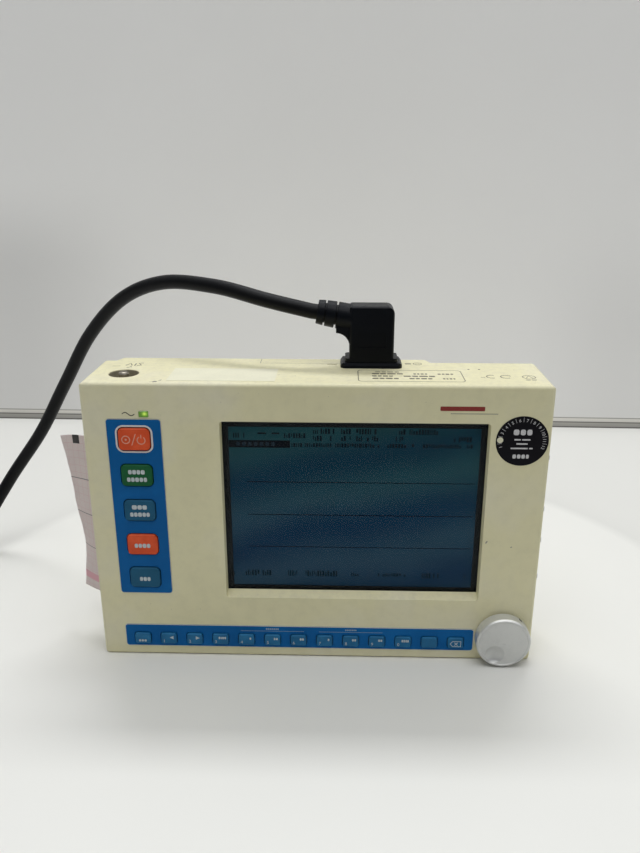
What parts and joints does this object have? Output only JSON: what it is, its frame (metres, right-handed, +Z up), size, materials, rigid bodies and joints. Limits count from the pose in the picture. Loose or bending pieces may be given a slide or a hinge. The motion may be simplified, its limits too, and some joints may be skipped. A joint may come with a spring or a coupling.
{
  "type": "portable electrocardiograph",
  "caption": "Slim desktop electrocardiograph with graphic display, membrane key panels, jog knob, side-loading chart printer, battery bay and a plug-in mains lead.",
  "frame": {"origin": "centre of the lower face the unit stands on", "axes": "+Z up, +X to the right seen from the front, +Y to the back; the display faces -Y"},
  "size_m": [0.4078, 0.2804, 0.2257],
  "materials": {
    "cream_shell": "fine moulded texture, slightly yellowed",
    "blue_panel": "satin printed panel",
    "red_key": "satin moulded key",
    "green_key": "satin moulded key",
    "teal_key": "satin moulded key",
    "strip_key": "satin moulded key",
    "window": "clear, hard-coated",
    "lcd_frame": "matt black",
    "lcd": "dark teal display, unlit",
    "white_plastic": "plain moulded",
    "led_green": "translucent lamp lens, lit",
    "sticker": "printed vinyl",
    "label": "plain white label stock",
    "silver_knob": "satin silver",
    "steel": "machined",
    "board": "circuit board with solder mask",
    "rubber_black": "matt",
    "cell_wrap": "shrink wrap",
    "supply": "varnished coil and board",
    "black_plastic": "fine moulded texture",
    "brass_pin": "plated",
    "gear_plastic": "natural acetal",
    "aluminium": "cast",
    "chart_paper": "pink grid thermal paper",
    "cable_black": "smooth sheath, slight sheen"
  },
  "bodies": {
    "case": {"front_shell": "cream_shell", "rear_shell": "cream_shell", "battery_door": "cream_shell", "function_panel": "blue_panel", "strip_panel": "blue_panel", "display_window": "window", "lcd_bezel": "lcd_frame", "lcd_panel": "lcd", "lcd_backlight": "white_plastic", "mains_led": "led_green", "inspection_sticker": "sticker", "asset_label": "label", "encoder_body": "black_plastic", "function_key_board": "board", "strip_key_board": "board", "main_board": "board", "m3_screws": "steel", "rubber_feet": "rubber_black", "battery_pack": "cell_wrap", "power_supply": "supply", "mains_inlet": "black_plastic", "inlet_pins": "brass_pin", "earth_stud": "brass_pin", "patient_socket": "steel", "serial_socket": "steel", "print_head": "aluminium", "printer_chassis": "steel", "stepper_motor": "steel", "mains_cable": "cable_black", "wall_plug": "black_plastic", "wall_plug_pins": "steel"},
    "power_key_body": {"power_key": "red_key"},
    "auto_key_body": {"auto_key": "green_key"},
    "manual_key_body": {"manual_key": "teal_key"},
    "stop_key_body": {"stop_key": "red_key"},
    "patient_key_body": {"patient_key": "teal_key"},
    "strip_key_01_body": {"strip_key_01": "strip_key"},
    "strip_key_02_body": {"strip_key_02": "strip_key"},
    "strip_key_03_body": {"strip_key_03": "strip_key"},
    "strip_key_04_body": {"strip_key_04": "strip_key"},
    "strip_key_05_body": {"strip_key_05": "strip_key"},
    "strip_key_06_body": {"strip_key_06": "strip_key"},
    "strip_key_07_body": {"strip_key_07": "strip_key"},
    "strip_key_08_body": {"strip_key_08": "strip_key"},
    "strip_key_09_body": {"strip_key_09": "strip_key"},
    "strip_key_10_body": {"strip_key_10": "strip_key"},
    "strip_key_11_body": {"strip_key_11": "strip_key"},
    "strip_key_12_body": {"strip_key_12": "strip_key"},
    "strip_key_13_body": {"strip_key_13": "strip_key"},
    "encoder_push": {"encoder_plunger": "white_plastic"},
    "knob": {"jog_knob": "silver_knob", "encoder_shaft": "steel"},
    "drawer": {"paper_drawer": "cream_shell", "paper_pack": "chart_paper", "paper_strip": "chart_paper"},
    "platen": {"platen_roller": "rubber_black", "platen_gear": "gear_plastic"},
    "idler": {"idler_gear": "gear_plastic"},
    "motor_rotor": {"motor_pinion": "brass_pin"},
    "lead_plug": {"mains_plug": "black_plastic"}
  },
  "joints": [
    {"name": "power_key_press", "type": "slide", "parent": "case", "child": "power_key_body", "axis": [0, 1, 0], "range_m": [0, 0.0006], "stiffness_N_per_m": 250},
    {"name": "auto_key_press", "type": "slide", "parent": "case", "child": "auto_key_body", "axis": [0, 1, 0], "range_m": [0, 0.0006], "stiffness_N_per_m": 250},
    {"name": "manual_key_press", "type": "slide", "parent": "case", "child": "manual_key_body", "axis": [0, 1, 0], "range_m": [0, 0.0006], "stiffness_N_per_m": 250},
    {"name": "stop_key_press", "type": "slide", "parent": "case", "child": "stop_key_body", "axis": [0, 1, 0], "range_m": [0, 0.0006], "stiffness_N_per_m": 250},
    {"name": "patient_key_press", "type": "slide", "parent": "case", "child": "patient_key_body", "axis": [0, 1, 0], "range_m": [0, 0.0006], "stiffness_N_per_m": 250},
    {"name": "strip_key_01_press", "type": "slide", "parent": "case", "child": "strip_key_01_body", "axis": [0, 1, 0], "range_m": [0, 0.0006], "stiffness_N_per_m": 250},
    {"name": "strip_key_02_press", "type": "slide", "parent": "case", "child": "strip_key_02_body", "axis": [0, 1, 0], "range_m": [0, 0.0006], "stiffness_N_per_m": 250},
    {"name": "strip_key_03_press", "type": "slide", "parent": "case", "child": "strip_key_03_body", "axis": [0, 1, 0], "range_m": [0, 0.0006], "stiffness_N_per_m": 250},
    {"name": "strip_key_04_press", "type": "slide", "parent": "case", "child": "strip_key_04_body", "axis": [0, 1, 0], "range_m": [0, 0.0006], "stiffness_N_per_m": 250},
    {"name": "strip_key_05_press", "type": "slide", "parent": "case", "child": "strip_key_05_body", "axis": [0, 1, 0], "range_m": [0, 0.0006], "stiffness_N_per_m": 250},
    {"name": "strip_key_06_press", "type": "slide", "parent": "case", "child": "strip_key_06_body", "axis": [0, 1, 0], "range_m": [0, 0.0006], "stiffness_N_per_m": 250},
    {"name": "strip_key_07_press", "type": "slide", "parent": "case", "child": "strip_key_07_body", "axis": [0, 1, 0], "range_m": [0, 0.0006], "stiffness_N_per_m": 250},
    {"name": "strip_key_08_press", "type": "slide", "parent": "case", "child": "strip_key_08_body", "axis": [0, 1, 0], "range_m": [0, 0.0006], "stiffness_N_per_m": 250},
    {"name": "strip_key_09_press", "type": "slide", "parent": "case", "child": "strip_key_09_body", "axis": [0, 1, 0], "range_m": [0, 0.0006], "stiffness_N_per_m": 250},
    {"name": "strip_key_10_press", "type": "slide", "parent": "case", "child": "strip_key_10_body", "axis": [0, 1, 0], "range_m": [0, 0.0006], "stiffness_N_per_m": 250},
    {"name": "strip_key_11_press", "type": "slide", "parent": "case", "child": "strip_key_11_body", "axis": [0, 1, 0], "range_m": [0, 0.0006], "stiffness_N_per_m": 250},
    {"name": "strip_key_12_press", "type": "slide", "parent": "case", "child": "strip_key_12_body", "axis": [0, 1, 0], "range_m": [0, 0.0006], "stiffness_N_per_m": 250},
    {"name": "strip_key_13_press", "type": "slide", "parent": "case", "child": "strip_key_13_body", "axis": [0, 1, 0], "range_m": [0, 0.0006], "stiffness_N_per_m": 250},
    {"name": "knob_press", "type": "slide", "parent": "case", "child": "encoder_push", "axis": [0, 1, 0], "range_m": [0, 0.0005], "stiffness_N_per_m": 800},
    {"name": "knob_turn", "type": "hinge", "parent": "encoder_push", "child": "knob", "pos_m": [0.1143, -0.0295, 0.017], "axis": [0, 1, 0], "continuous": true},
    {"name": "paper_drawer_slide", "type": "slide", "parent": "case", "child": "drawer", "axis": [-1, 0, 0], "range_m": [0, 0.09]},
    {"name": "platen_spin", "type": "hinge", "parent": "drawer", "child": "platen", "pos_m": [-0.121, 0.0015, 0.08], "axis": [0, 0, 1], "continuous": true},
    {"name": "idler_spin", "type": "hinge", "parent": "case", "child": "idler", "pos_m": [-0.105, 0.0015, 0.143], "axis": [0, 0, 1], "continuous": true},
    {"name": "motor_spin", "type": "hinge", "parent": "case", "child": "motor_rotor", "pos_m": [-0.105, -0.0129, 0.15], "axis": [0, 0, 1], "continuous": true},
    {"name": "mains_plug_pull", "type": "slide", "parent": "case", "child": "lead_plug", "axis": [0, 0, 1], "range_m": [0, 0.026]}
  ],
  "couplings": [
    {"joint": "idler_spin", "follows": "platen_spin", "ratio": -0.66667},
    {"joint": "motor_spin", "follows": "platen_spin", "ratio": 1.3333}
  ]
}
